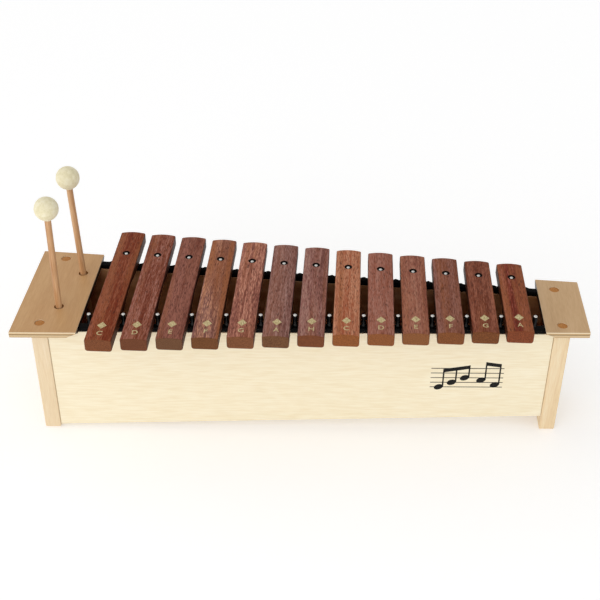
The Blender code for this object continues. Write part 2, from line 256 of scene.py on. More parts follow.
def skin(rings):
    """Points and faces over rings (ring, place, xyz): quads between neighbours, one face over each end."""
    count, around = rings.shape[:2]
    grid = np.arange(count * around).reshape(count, around)
    beside = np.roll(grid, -1, axis=1)
    quads = np.stack([grid[:-1], beside[:-1], beside[1:], grid[1:]], axis=-1).reshape(-1, 4)
    return rings.reshape(-1, 3), [*quads.tolist(), grid[0, ::-1].tolist(), grid[-1].tolist()]


def turned(profile, around, middle=(0, 0, 0)):
    """Rings of a turned shape: radius r at height h goes round a middle as (r cos a, r sin a, h)."""
    radius, height = np.array(profile, float).T
    angle = np.arange(around) * 2 * math.pi / around
    x = radius[:, None] * np.cos(angle)
    y = radius[:, None] * np.sin(angle)
    return np.stack([x, y, np.repeat(height[:, None], around, axis=1)], axis=-1) + np.array(middle)


def joined(parts):
    """One set of points and faces from several, each part's faces counted on from the points before it."""
    starts = np.cumsum([0] + [len(points) for points, _ in parts])
    faces = [[n + int(start) for n in face] for start, (_, faces) in zip(starts, parts) for face in faces]
    return np.concatenate([points for points, _ in parts]), faces


print("a plain tube has", len(skin(turned([(0, 0), (1, 0), (1, 1), (0, 1)], 24))[1]), "faces")

# %% Rounded blocks


def rounded_block(size, edge, foot=None):
    """Rings of a block about its own centre, all edges rounded.

    A ring is a rectangle whose corners are quarter circles. Near an end it shrinks by r (1 - cos t) while it
    moves on by r sin t, so the end edges are quarter circles too. foot is the radius at the lower end.
    """
    turn = np.linspace(0, math.pi / 2, 4)
    half = np.array(size, float) / 2
    foot = foot or edge
    low = [(-half[2] + foot * (1 - math.sin(t)), foot * (1 - math.cos(t))) for t in turn[::-1]]
    high = [(half[2] - edge * (1 - math.sin(t)), edge * (1 - math.cos(t))) for t in turn]
    rings = []
    for height, inset in low + high:
        radius = max(edge - inset, 0.15 * edge)
        inner = half[:2] - inset - radius
        corner = [
            np.array(sign) * inner + radius * np.column_stack([np.cos(t0 + turn), np.sin(t0 + turn)])
            for sign, t0 in (((1, 1), 0), ((-1, 1), math.pi / 2), ((-1, -1), math.pi), ((1, -1), -math.pi / 2))
        ]
        ring = np.concatenate(corner)
        rings.append(np.column_stack([ring, np.full(len(ring), height)]))
    return np.array(rings)


print("a rounded block has", rounded_block((1, 1, 1), 0.1).shape[:2], "rings and places")

# %% Pieces and cuts


# Edges turned by more degrees than this stay sharp, and cutting shapes reach this far past a surface
SHARP, PAST = 38, 5 * MM


def add_piece(name, shape, finish, body, replaces=(), finish_of=None):
    """Makes a piece, closed at its poles and facing outwards, that rides on a body."""
    points, faces = shape
    mesh = bpy.data.meshes.new(name)
    mesh.from_pydata(points.tolist(), [], faces)
    for each in finish if isinstance(finish, list) else [finish]:
        mesh.materials.append(each)
    if finish_of is not None:
        mesh.polygons.foreach_set("material_index", finish_of)
    tidy = bmesh.new()
    tidy.from_mesh(mesh)
    bmesh.ops.remove_doubles(tidy, verts=tidy.verts, dist=1e-7)
    if tidy.calc_volume(signed=True) < 0:
        bmesh.ops.reverse_faces(tidy, faces=tidy.faces)
    tidy.to_mesh(mesh)
    tidy.free()
    mesh.shade_smooth()
    mesh.set_sharp_from_angle(angle=math.radians(SHARP))
    piece = bpy.data.objects.new(name, mesh)
    bpy.context.scene.collection.objects.link(piece)
    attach(piece, body)
    if replaces:
        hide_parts(*replaces)
    return piece


def cut(piece, *shapes, sharp=SHARP, finish=None):
    """Takes closed shapes away from a piece with exact Booleans, whose result becomes the piece's own mesh.

    The new faces take a finish of their own if one is given.
    """
    cutters = []
    for number, shape in enumerate(shapes):
        cutter = add_piece(f"{piece.name}_cutter_{number}", shape, finish or piece.data.materials[0], ROOT)
        cutter.hide_render = True
        away = piece.modifiers.new(cutter.name, "BOOLEAN")
        away.operation = "DIFFERENCE"
        away.solver = "EXACT"
        away.material_mode = "TRANSFER" if finish else "INDEX"
        away.object = cutter
        cutters.append(cutter)
    bpy.context.view_layer.update()
    whole = piece.evaluated_get(bpy.context.evaluated_depsgraph_get())
    made = bpy.data.meshes.new_from_object(whole)
    piece.modifiers.clear()
    piece.data = made
    made.shade_smooth()
    made.set_sharp_from_angle(angle=math.radians(sharp))
    for cutter in cutters:
        bpy.data.objects.remove(cutter)
    return piece


def flat_sides(piece):
    """Weights the shading at corners by the faces' areas, so that flat sides stay flat beside rounded edges."""
    piece.modifiers.new("flat_sides", "WEIGHTED_NORMAL").keep_sharp = True
    return piece


ROOT = "box"

# %% [markdown]
# ## Rosewood
# The bars are sawn from rosewood, planed, sanded along the grain and oiled. Sawing along the trunk cuts the
# annual layers into long streaks, and the vessels open as short dark pores, so colour changes quickly across a
# bar and slowly along it. Each noise below is squeezed along the bar. Real pores are about 0.2 mm wide, too
# fine to show, so they are drawn two to three times as wide. At the sawn ends the layers are cut across: the
# colour is browner there, with the slanting lines of the saw.

# %% The finish of one bar


def rosewood(name, dark, middle, light, end, seed, half_length, warm, hole, middle_x):
    """Oiled rosewood: three noises along the grain choose the tone, a fourth draws the pores.

    The sawn ends differ, the sides are darkened as painted shade of the gaps between the bars, and the wall of
    the pin's hole, a circle about the point hole, is darkened as painted shade inside the hole.
    """
    finish, tree, place = new_finish(name)
    shift = (0.37 * seed, 0.61 * seed, 0.23 * seed)
    tilt = (0, 0, math.radians(1.6 * math.sin(seed)))
    grain = {"Vector": place, "Location": shift, "Rotation": tilt}
    long_grain = add_node(tree, "Mapping", {**grain, "Scale": (1, 0.045, 1)})
    short_grain = add_node(tree, "Mapping", {**grain, "Scale": (1, 0.10, 1)})
    # Bands 12 mm wide, streaks 3 mm wide, fibres 1 mm wide
    bands = add_node(tree, "TexNoise", {"Vector": long_grain, "Scale": 85, "Detail": 2, "Distortion": 0.4})
    streaks = add_node(tree, "TexNoise", {"Vector": long_grain, "Scale": 340, "Detail": 3, "Roughness": 0.6})
    fibres = add_node(tree, "TexNoise", {"Vector": short_grain, "Scale": 1150, "Detail": 2, "Roughness": 0.6})
    tone = summed(tree, ((streaks, 0.34), (fibres, 0.40), (bands, 0.26)))
    stops = [(0.42, dark), (0.50, middle), (0.59, light)]
    top = add_node(tree, "ValToRGB", {0: tone}, stops)
    # Heartwood runs from purple-brown to orange-brown across a board
    hue = add_node(tree, "TexNoise", {"Vector": long_grain, "Scale": 48, "Detail": 1, "Distortion": 0.8})
    hue_share = add_node(tree, "MapRange", {0: hue, 1: 0.46, 2: 0.66, 3: 0.0, 4: warm})
    orange = add_node(tree, "Mix", {0: hue_share, 6: top, 7: linear("#9a5a34")}, data_type="RGBA")
    pores = add_node(tree, "TexNoise", {"Vector": short_grain, "Scale": 1350, "Detail": 1})
    pore_share = add_node(tree, "MapRange", {0: pores, 1: 0.55, 2: 0.70, 3: 0.0, 4: 0.75})
    pored_parts = {0: pore_share, 6: orange.outputs[2], 7: linear("#3a170c")}
    pored = add_node(tree, "Mix", pored_parts, data_type="RGBA").outputs[2]
    # Sawn ends: speckles 0.8 mm wide and saw lines 1.4 mm apart, at a slant
    speckles = add_node(tree, "TexNoise", {"Vector": place, "Scale": 1300, "Detail": 2, "Roughness": 0.7})
    slant = add_node(tree, "Mapping", {"Vector": place, "Rotation": (0, math.radians(38), 0)})
    saw_lines = {"Vector": slant, "Scale": 230, "Distortion": 3, "Detail": 2}
    saw = add_node(tree, "TexWave", saw_lines, wave_type="BANDS").outputs[1]
    end_tone = add_node(tree, "Math", {0: saw, 1: 0.16, 2: speckles}, operation="MULTIPLY_ADD")
    shade = add_node(tree, "MapRange", {0: end_tone, 1: 0.42, 2: 0.76, 3: 0.45, 4: 1.5})
    end_parts = {0: linear(end)[:3], "Scale": shade}
    end_colour = add_node(tree, "VectorMath", end_parts, operation="SCALE")
    from_middle = distance_from(tree, place, "Y")
    near_end = half_length - 1.1 * MM
    end_share = add_node(tree, "MapRange", {0: from_middle, 1: near_end, 2: near_end + 0.8 * MM})
    sawn = add_node(tree, "Mix", {0: end_share, 6: pored, 7: end_colour}, data_type="RGBA").outputs[2]
    # Painted shade: the sides are darkened, as the shade in the narrow gaps between the bars
    to_side = distance_from(tree, place, "X", middle_x)
    side_start = float(BAR_HALF_WIDTH) - 0.7 * MM
    side_range = {0: to_side, 1: side_start, 2: side_start + 0.6 * MM, 3: 0.0, 4: 0.72}
    side_share = add_node(tree, "MapRange", side_range)
    inner_end = add_node(tree, "MapRange", {0: end_share, 3: 1.0, 4: 0.35})
    side_shade_share = add_node(tree, "Math", {0: side_share, 1: inner_end}, operation="MULTIPLY")
    side_shaded = add_node(tree, "Mix", {0: side_shade_share, 6: sawn, 7: linear("#1c0b06")}, data_type="RGBA").outputs[2]
    # Painted shade: the wall of the pin's hole, its countersink and a thin ring round it are darkened, as the
    # shade inside the hole
    flat_place = add_node(tree, "VectorMath", {0: place, 1: (1, 1, 0)}, operation="MULTIPLY")
    to_hole = {0: flat_place, 1: (*hole, 0)}
    from_hole = add_node(tree, "VectorMath", to_hole, operation="DISTANCE").outputs["Value"]
    hole_shade_range = {0: from_hole, 1: HOLE_RADIUS + 0.9 * MM, 2: HOLE_RADIUS + 0.5 * MM}
    hole_shade = add_node(tree, "MapRange", hole_shade_range)
    colour = add_node(tree, "Mix", {0: hole_shade, 6: side_shaded, 7: linear("#150703")}, data_type="RGBA").outputs[2]
    relief = add_node(tree, "Math", {0: tone, 1: pore_share}, operation="SUBTRACT")
    surface(tree, colour, fibres, (0.56, 0.44), relief=(relief, 0.25, 0.15 * MM), extra=DULL)
    return finish


HOLE_RADIUS = 4.4 * MM
# Dark, middle and light tone of the top, tone of the ends, and the share of orange heartwood
BAR_TONES = (
    ("#722301", "#813c1c", "#9b563b", "#78462a", 0.9),
    ("#6e2b12", "#8b4d38", "#ab7364", "#6b3e26", 0.5),
    ("#6f3221", "#814c3d", "#9b604f", "#6a472f", 0.3),
    ("#64352c", "#8a5c52", "#cf9372", "#6c4224", 0.9),
    ("#7b4337", "#a86a56", "#d3957b", "#784a2e", 0.8),
    ("#704239", "#8c6156", "#a78077", "#6c472d", 0.3),
    ("#6e4034", "#8c5950", "#a67b6d", "#734126", 0.4),
    ("#a05434", "#b77757", "#cc8d6c", "#8a512a", 0.7),
    ("#8a4c36", "#995e4c", "#a77261", "#88512d", 0.4),
    ("#7d4535", "#975c48", "#ab755f", "#855330", 0.6),
    ("#6c351d", "#814e3f", "#9b6a5c", "#7d4a28", 0.4),
    ("#64280a", "#7b412c", "#9b5d45", "#734323", 0.5),
    ("#5c1200", "#7c301a", "#a45e4f", "#7c4025", 0.7),
)
ROSEWOODS = []
for number, (tones, pin) in enumerate(zip(BAR_TONES, ROW_PINS["rear"])):
    *four_tones, orange_share = tones
    seed, half_length = 3.1 * number + 1.7, BAR_LENGTH[number] / 2
    place = (half_length, orange_share, (pin.x, pin.y), float(BAR_X[number]))
    ROSEWOODS.append(rosewood(f"oiled_rosewood_{number + 1:02d}", *four_tones, seed, *place))
print(len(ROSEWOODS), "rosewood finishes")

# %% [markdown]
# ## The bars
# A bar is planed flat below and crowned above, with its lower edges rounded more than its upper ones. The tuner
# lowers its note by cutting a shallow arch under the middle, deeper in the long bars. The rear pin comes up
# through a hole, countersunk a little where the drill's burr was taken off. The cross-section is carried from
# end to end and lifted by the arch, and the hole is cut after that.

# %% Cross-section and arch
UPPER_ROUND, LOWER_ROUND, END_ROUND = 1.4 * MM, 3.3 * MM, 1.3 * MM
CROWN = 1.6 * MM
DEEPEST_ARCH, SHALLOWEST_ARCH, ARCH_SHARE = 7.5 * MM, 3.0 * MM, 0.5


def crown_height(across):
    """Height of a bar's top at a distance from its middle: it falls with the square of that distance."""
    half = BAR_HALF_WIDTH - UPPER_ROUND
    return BAR_TOP - CROWN * (across / half) ** 2


def bar_section(inset, lift):
    """Outline (x, z) of a bar, drawn in by inset: four quarter circles, a parabola between the upper two."""
    turn = np.linspace(0, math.pi / 2, 4)
    half = BAR_HALF_WIDTH - inset
    low, high = max(LOWER_ROUND - inset, 0.4 * MM), UPPER_ROUND
    shoulder = BAR_TOP - CROWN - inset
    parts = []
    for side, radius, height, start in (
        (1, low, BAR_BOTTOM + inset + lift + low, -math.pi / 2),
        (1, high, shoulder - high, 0),
        (-1, high, shoulder - high, math.pi / 2),
        (-1, low, BAR_BOTTOM + inset + lift + low, math.pi),
    ):
        parts.append(
            np.column_stack(
                [side * (half - radius) + radius * np.cos(start + turn), height + radius * np.sin(start + turn)]
            )
        )
    across = np.linspace(half - high, -(half - high), 11)[1:-1]
    crown = np.column_stack([across, shoulder + CROWN * (1 - (across / (half - high)) ** 2)])
    return np.concatenate([parts[0], parts[1], crown, parts[2], parts[3]])


def bar_shape(number):
    """A bar: its outline carried along y, shrinking over quarter circles at both ends.

    Its underside is lifted by depth (1 + cos(pi y / reach)) / 2 over the middle.
    """
    share = number / (len(BAR_NAMES) - 1)
    half = BAR_LENGTH[number] / 2
    depth = DEEPEST_ARCH + share * (SHALLOWEST_ARCH - DEEPEST_ARCH)
    reach = half * ARCH_SHARE
    turn = np.linspace(math.pi / 2, 0, 4)
    ends = np.column_stack([half - END_ROUND * (1 - np.sin(turn)), END_ROUND * (1 - np.cos(turn))])
    arch = np.linspace(-reach, reach, 17)
    middle = np.column_stack([arch, np.zeros(17)])
    stations = np.concatenate([ends[::-1] * (-1, 1), middle, ends])
    stations = stations[np.argsort(stations[:, 0])]
    arched = depth * (1 + np.cos(math.pi * stations[:, 0] / reach)) / 2
    lift = np.where(np.abs(stations[:, 0]) < reach, arched, 0)
    rings = [
        np.insert(bar_section(inset, up), 1, along, axis=1) for (along, inset), up in zip(stations, lift)
    ]
    return skin(np.array(rings) + (BAR_X[number], 0, 0))


print("a bar has", len(bar_shape(0)[1]), "faces")

# %% Thirteen bars, each with its pin hole
COUNTERSINK = 0.15 * MM
for number, name in enumerate(BAR_NAMES):
    bar = add_piece(
        f"{name}_wood", bar_shape(number), ROSEWOODS[number], name, replaces=[name]
    )
    pin = ROW_PINS["rear"][number]
    drill = [
        (0, BAR_BOTTOM - PAST),
        (HOLE_RADIUS, BAR_BOTTOM - PAST),
        (HOLE_RADIUS, BAR_TOP - COUNTERSINK),
        (HOLE_RADIUS + 3 * COUNTERSINK, BAR_TOP + 2 * COUNTERSINK),
        (0, BAR_TOP + 2 * COUNTERSINK),
    ]
    cut(bar, skin(turned(drill, 32, (pin.x, pin.y, 0))), sharp=32)
    flat_sides(bar)
print("bars from", round(1000 * BAR_LENGTH[0]), "to", round(1000 * BAR_LENGTH[-1]), "mm long")

# %% [markdown]
# ## Letters and lozenges in gold
# Each bar carries the name of its note and a small plain lozenge, printed with gold foil. A foil is a few
# hundredths of a millimetre thick. The letter is a text turned into a mesh, and the lozenge is a grid on two
# diagonals. Both are bent over the crown of the bar.

# %% Gold foil
# Foil pressed into open grain breaks up along it, in patches about 1 mm wide
gold = mottled(
    "gold_foil",
    "TexNoise",
    {"Scale": 900, "Detail": 2},
    [(0.32, "#9c865a"), (0.46, "#c3ae7a"), (0.70, "#d6c698")],
    gloss=(0.6, 0.4),
    squeeze=(1, 0.3, 1),
    extra={"Metallic": 0.2},
)
print("gold foil ready")

# %% Letters
FOIL = 0.05 * MM
LETTER_SIZE = np.array((6.8 * MM, 8.0 * MM))
LETTER_FROM_END, MARK_FROM_END = 13.5 * MM, 29 * MM
MARK_SIZE = (11.5 * MM, 13.5 * MM)


def letter_shape(letter, x, y):
    """A letter of the built-in face, scaled to LETTER_SIZE, its middle at (x, y), lifted onto the crown."""
    curve = bpy.data.curves.new("letter", "FONT")
    curve.body = letter
    curve.extrude = 0.01
    curve.offset = 0.012
    writing = bpy.data.objects.new("letter", curve)
    mesh = bpy.data.meshes.new_from_object(writing)
    points = np.empty(3 * len(mesh.vertices), np.float32)
    mesh.vertices.foreach_get("co", points)
    points = points.reshape(-1, 3).astype(float)
    faces = [list(face.vertices) for face in mesh.polygons]
    bpy.data.objects.remove(writing)
    bpy.data.meshes.remove(mesh)
    low, high = points.min(0), points.max(0)
    share = (points - (low + high) / 2) / (high - low)
    wide = LETTER_SIZE[0] * min(1.0, (high[0] - low[0]) / (high[1] - low[1]) * 1.15)
    across = share[:, 0] * wide
    height = crown_height(across) + FOIL * (1 + 2 * share[:, 2])
    return np.column_stack([x + across, y + share[:, 1] * LETTER_SIZE[1], height]), faces


def lozenge_shape(x, y, wide, deep, cells=10):
    """A lozenge on the crown: s and t from -1 to 1 give across = (s - t) wide / 4, along = (s + t) deep / 4."""
    s, t = np.meshgrid(np.linspace(-1, 1, cells + 1), np.linspace(-1, 1, cells + 1), indexing="ij")
    across, along = (s - t) * wide / 4, (s + t) * deep / 4
    rings = [
        np.stack([x + across, y + along, crown_height(across) + thickness], axis=-1).reshape(-1, 3)
        for thickness in (0.0, 2 * FOIL)
    ]
    grid = np.arange((cells + 1) ** 2).reshape(cells + 1, cells + 1)
    top = np.stack([grid[:-1, :-1], grid[1:, :-1], grid[1:, 1:], grid[:-1, 1:]], axis=-1).reshape(-1, 4)
    rim = np.concatenate([grid[0, :-1], grid[:-1, -1], grid[-1, :0:-1], grid[:0:-1, 0]])
    beside = np.roll(rim, -1)
    count = grid.size
    sides = np.column_stack([rim, beside, beside + count, rim + count])
    return np.concatenate(rings), [*top[:, ::-1].tolist(), *(top + count).tolist(), *sides.tolist()]


for number, name in enumerate(BAR_NAMES):
    letter = name[-1].upper()
    near_end = -BAR_LENGTH[number] / 2
    where = (BAR_X[number], near_end + LETTER_FROM_END)
    printed = add_piece(f"{name}_letter", letter_shape(letter, 0, 0), gold, name)
    printed.data.transform(Matrix.Translation((*where, 0)))
    lozenge = lozenge_shape(BAR_X[number], near_end + MARK_FROM_END, *MARK_SIZE)
    add_piece(f"{name}_lozenge", lozenge, gold, name)
print("letters", "".join(name[-1].upper() for name in BAR_NAMES))

# %% [markdown]
# ## The walls
# The long walls are birch plywood under clear matt lacquer. The face layer was peeled from the log in one
# long turn, which gives wide, faint waves along the wall. Inside, the wood is coloured a warmer, darker brown,
# which is painted shade of the closed box and dim between the bars. The two colours meet at the edges, so one
# material holds both and chooses by the distance from the middle line.

# %% Birch plywood, with painted shade inside
WALL_LOW, WALL_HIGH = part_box("front_wall")
WALL_OUT = -WALL_LOW.y - long_edge(WALL_LOW.x)
WALL_THICKNESS = 2 * WALL_OUT
WALL_TOP = WALL_HIGH.z
INNER_SHADE_DEPTH = 0.8 * WALL_THICKNESS


def inside_share(tree, place):
    """From 0 outside to 1 inside the box: |y| less the taper is INNER_SHADE_DEPTH short of the wall's outer face."""
    parts = add_node(tree, "SeparateXYZ", {0: place})
    depth = add_node(tree, "Math", {0: parts.outputs["Y"]}, operation="ABSOLUTE")
    taper = {0: parts.outputs["X"], 1: -float(TAPER), 2: depth}
    level = add_node(tree, "Math", taper, operation="MULTIPLY_ADD")
    edge = float(PIN_LINE_AT_ZERO) + WALL_OUT - INNER_SHADE_DEPTH
    return add_node(tree, "MapRange", {0: level, 1: edge + 0.4 * MM, 2: edge})


# Painted shade: this warm brown colours the faces inside the box and stands in for the shade there
def oiled(tree, place):
    """Painted shade of the box's inside: warm brown, and paler in patches about 30 mm across."""
    long_way = add_node(tree, "Mapping", {"Vector": place, "Scale": (0.3, 0.3, 1)})
    patches = add_node(tree, "TexNoise", {"Vector": long_way, "Scale": 60, "Detail": 4})
    stops = [(0.32, "#b67a4a"), (0.52, "#cc8f5f"), (0.70, "#daa576")]
    return add_node(tree, "ValToRGB", {0: patches}, stops)


def birch_plywood():
    """Lacquered birch ply: contour lines of a wide, lying noise make the peeled figure, over a fine fleck."""
    finish, tree, place = new_finish("lacquered_birch_plywood")
    figure_map = add_node(tree, "Mapping", {"Vector": place, "Scale": (0.22, 1, 1)})
    figure = add_node(tree, "TexNoise", {"Vector": figure_map, "Scale": 13, "Detail": 2, "Distortion": 0.3})
    # Growth lines about 4 mm apart where the peeling crossed them flat
    contour = add_node(tree, "Math", {0: figure, 1: 95.0}, operation="MULTIPLY")
    wave = add_node(tree, "Math", {0: contour}, operation="SINE")
    fleck_map = add_node(tree, "Mapping", {"Vector": place, "Scale": (0.08, 1, 1)})
    fleck = add_node(tree, "TexNoise", {"Vector": fleck_map, "Scale": 420, "Detail": 3})
    tone = add_node(tree, "Math", {0: wave, 1: 0.035, 2: fleck}, operation="MULTIPLY_ADD")
    stops = [(0.30, "#efe0be"), (0.50, "#f3e6c7"), (0.70, "#f6ebcf")]
    face = add_node(tree, "ValToRGB", {0: tone}, stops)
    # Painted shade: inside the box the wall takes the warm brown that stands for the shade there
    inner = inside_share(tree, place)
    colour = add_node(tree, "Mix", {0: inner, 6: face, 7: oiled(tree, place)}, data_type="RGBA").outputs[2]
    surface(tree, colour, fleck, (0.50, 0.42), relief=(fleck, 0.12, 0.1 * MM), extra=LACQUER)
    return finish


BIRCH = birch_plywood()
print(f"walls {1000 * WALL_THICKNESS:.0f} mm thick")

# %% Two walls
WALL_ROUND, BOTTOM_THICKNESS = 0.6 * MM, 6 * MM
BOARD_LOW, BOARD_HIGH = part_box("bottom_board")
FOOT_LEFT, FOOT_RIGHT = WALL_LOW.z, WALL_LOW.z + (BOARD_HIGH.z - BOARD_LOW.z - BOTTOM_THICKNESS)


def wall_foot(x):
    """Height of the walls' lower edge, a straight line that rises towards the short bars."""
    return FOOT_LEFT + (FOOT_RIGHT - FOOT_LEFT) * (x - WALL_LOW.x) / (WALL_HIGH.x - WALL_LOW.x)


def wall_shape(side):
    """A long wall: a rounded block laid along x, sheared so that it follows the taper and its foot rises."""
    tall = WALL_TOP - FOOT_LEFT
    block = rounded_block((tall, WALL_THICKNESS, WALL_HIGH.x - WALL_LOW.x), WALL_ROUND)
    x = block[..., 2] + (WALL_LOW.x + WALL_HIGH.x) / 2
    share = block[..., 0] / tall + 0.5
    z = wall_foot(x) + share * (WALL_TOP - wall_foot(x))
    return skin(np.stack([x, side * (long_edge(x) + block[..., 1]), z], axis=-1))


def shafts(places, radius, low, high, around=16):
    """Upright closed cylinders of one radius at several places, as one shape."""
    profile = [(0, low), (radius, low), (radius, high), (0, high)]
    return joined([skin(turned(profile, around, (p.x, p.y, 0))) for p in places])


SHANK_RADIUS, PIN_BITE = 1.5 * MM, 14 * MM
for row, side in ROWS.items():
    wall = add_piece(
        f"{row}_wall_plywood", wall_shape(side), BIRCH, ROOT, replaces=[f"{row}_wall"]
    )
    cut(wall, shafts(ROW_PINS[row], SHANK_RADIUS, WALL_TOP - PIN_BITE, WALL_TOP + PAST))
    flat_sides(wall)
print("walls are", [round(1000 * (WALL_TOP - foot)) for foot in (FOOT_LEFT, FOOT_RIGHT)], "mm high")

# %% Bottom board and divider
INNER_ROUND, CLEAR = 0.4 * MM, 0.3 * MM
INSET = -WALL_THICKNESS / 2 - CLEAR
BOTTOM_DROP = BOARD_LOW.z - WALL_LOW.z
FOOT_SLOPE = (FOOT_RIGHT - FOOT_LEFT) / (WALL_HIGH.x - WALL_LOW.x)

inner_ply, ply_tree, ply_place = new_finish("plywood_with_inner_shade")
# The underside keeps the pale wood: everything below the tilted middle plane of the bottom board is pale, and
# everything above it takes the warm brown that is painted shade of the box's inside
ply_parts = add_node(ply_tree, "SeparateXYZ", {0: ply_place})
ply_level = {0: ply_parts.outputs["X"], 1: -FOOT_SLOPE, 2: ply_parts.outputs["Z"]}
ply_rise = add_node(ply_tree, "Math", ply_level, operation="MULTIPLY_ADD")
board_middle = wall_foot(0.0) + BOTTOM_DROP + BOTTOM_THICKNESS / 2
ply_range = {0: ply_rise, 1: board_middle - 1 * MM, 2: board_middle + 1 * MM}
ply_shaded_share = add_node(ply_tree, "MapRange", ply_range)
ply_fleck = add_node(ply_tree, "TexNoise", {"Vector": ply_place, "Scale": 500})
ply_bare = add_node(ply_tree, "ValToRGB", {0: ply_fleck}, [(0.3, "#ece0c6"), (0.7, "#f4ebd6")])
ply_faces = {0: ply_shaded_share, 6: ply_bare, 7: oiled(ply_tree, ply_place)}
ply_colour = add_node(ply_tree, "Mix", ply_faces, data_type="RGBA").outputs[2]
surface(ply_tree, ply_colour, ply_fleck, (0.8, 0.6), (0, 1), extra={"Specular IOR Level": 0.1})


def stretched(depth, reach):
    """Fits a block made 2 m deep to its real half depth: each side moves in whole, so its rounding stays."""
    return np.sign(depth) * (reach - (1 - np.abs(depth)))


def tapered(low, high, out, edge, foot=None, setback=0.0):
    """A rounded block between two corners, whose half depth at each x is the pins' line plus out."""
    block = rounded_block((high.x - low.x, 2, high.z - low.z), edge, foot)
    x = block[..., 0] + (low.x + high.x) / 2
    y = setback + stretched(block[..., 1], long_edge(x, out))
    return skin(np.stack([x, y, block[..., 2] + (low.z + high.z) / 2], axis=-1))


def bottom_shape():
    """The bottom board: a rounded block laid flat, widened to the taper and tilted with the walls' foot."""
    block = rounded_block((BOTTOM_THICKNESS, 2, BOARD_HIGH.x - BOARD_LOW.x), INNER_ROUND)
    x = block[..., 2] + (BOARD_LOW.x + BOARD_HIGH.x) / 2
    y = stretched(block[..., 1], long_edge(x, INSET))
    z = wall_foot(x) + BOTTOM_DROP + BOTTOM_THICKNESS / 2 + block[..., 0]
    return skin(np.stack([x, y, z], axis=-1))


add_piece("bottom_plywood", bottom_shape(), inner_ply, ROOT, replaces=["bottom_board"])
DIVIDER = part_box("divider_board")
divider_shape = tapered(*DIVIDER, INSET, INNER_ROUND)
add_piece("divider_plywood", divider_shape, inner_ply, ROOT, replaces=["divider_board"])
print(f"divider {1000 * (DIVIDER[1].z - DIVIDER[0].z):.0f} mm high")

# %% [markdown]
# ## The end boards
# Two upright beech boards close the box and carry it. Beech has straight, even grain with short fine flecks,
# which run upright here. The boards stand proud of the walls, so their rounded edges draw a thin line at
# the joints, and their lower corners are rounded more than the rest because they stand on the table.

# %% Beech


def beech(name, dark, middle, light, along, seed, lean=0.0, inside=False):
    """Lacquered beech: fine flecks drawn out along one axis, squeezed by the scale along, over soft wide bands.

    inside is (x of the inner face, its depth, height of the walls' foot) on a board whose inner face takes the
    warm brown that is painted shade of the box's inside.
    """
    finish, tree, place = new_finish(name)
    turned_place = {"Vector": place, "Location": (seed, seed, 0), "Rotation": (0, -lean, 0)}
    upright = add_node(tree, "Mapping", turned_place)
    grain = add_node(tree, "Mapping", {"Vector": upright, "Scale": along})
    # Bands 8 mm wide, flecks 1.2 mm wide: real flecks are half as wide
    bands = add_node(tree, "TexNoise", {"Vector": grain, "Scale": 120, "Detail": 2, "Distortion": 0.5})
    flecks = add_node(tree, "TexNoise", {"Vector": grain, "Scale": 800, "Detail": 3, "Roughness": 0.6})
    tone = summed(tree, ((bands, 0.5), (flecks, 0.5)))
    stops = [(0.36, dark), (0.50, middle), (0.64, light)]
    colour = add_node(tree, "ValToRGB", {0: tone}, stops)
    # Painted shade: above the walls' foot the inner face takes the warm brown of the box's inside
    if inside:
        inner = inside_share(tree, place)
        off = distance_from(tree, place, "X", inside[0])
        facing = add_node(tree, "MapRange", {0: off, 1: inside[1] + 0.6 * MM, 2: inside[1]})
        height = add_node(tree, "SeparateXYZ", {0: place}).outputs["Z"]
        above = add_node(tree, "MapRange", {0: height, 1: inside[2], 2: inside[2] + 1 * MM})
        on_shaded_face = add_node(tree, "Math", {0: facing, 1: above}, operation="MULTIPLY")
        both = add_node(tree, "Math", {0: inner, 1: on_shaded_face}, operation="MULTIPLY")
        colour = add_node(tree, "Mix", {0: both, 6: colour, 7: oiled(tree, place)}, data_type="RGBA").outputs[2]
    surface(tree, colour, flecks, (0.48, 0.40), relief=(flecks, 0.15, 0.1 * MM), extra=LACQUER)
    return finish


END_BOARDS = {side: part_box(f"{side}_end_board") for side in ("left", "right")}
INSIDE_FACES = {"left": END_BOARDS["left"][1].x, "right": END_BOARDS["right"][0].x}
LEG_TONES = {"left": ("#dfc49d", "#e6cfaa", "#ebd7b8"), "right": ("#e1c49a", "#e9cfa6", "#eedab6")}
LEG_SEEDS = {"left": 1.4, "right": 0.4}
UPRIGHT_GRAIN, SHADED_FACE_DEPTH = (1, 1, 0.06), 0.4 * MM
LEG_WOOD = {}
for side, inner_x in INSIDE_FACES.items():
    shaded_face = (inner_x, SHADED_FACE_DEPTH, wall_foot(inner_x))
    settings = (*LEG_TONES[side], UPRIGHT_GRAIN, LEG_SEEDS[side])
    LEG_WOOD[side] = beech(f"lacquered_beech_{side}", *settings, inside=shaded_face)
print("end boards' inner faces at x =", {side: round(1000 * x) for side, x in INSIDE_FACES.items()}, "mm")

# %% Two end boards
END_EDGE, END_FOOT = 1.2 * MM, 2.4 * MM
for side, (low, high) in END_BOARDS.items():
    shape = tapered(low, high, -low.y - long_edge(low.x), END_EDGE, END_FOOT)
    board = add_piece(
        f"{side}_end_board_beech", shape, LEG_WOOD[side], ROOT,
        replaces=[f"{side}_end_board"],
    )
    flat_sides(board)
print("end boards", round(1000 * (END_BOARDS["left"][1].z)), "mm high")

# %% [markdown]
# ## The top plates
# Both plates are 8 mm plywood with a light brown face layer, kept darker than the sawn edge, partly as painted
# shade of the top. The sawn edge shows the layers: a pale one, a thin line of glue, and a second pale one, with
# painted shade along its foot and a painted highlight along its top arris. The underside is cut away at the two
# corners beside the bars. The layers lie at fixed heights, so the height alone picks the colour at the edge.

# %% Plate plywood
PLATES = {side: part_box(f"{side}_top_plate") for side in ("left", "right")}
PLATE_BOTTOM, PLATE_TOP = PLATES["left"][0].z, PLATES["left"][1].z


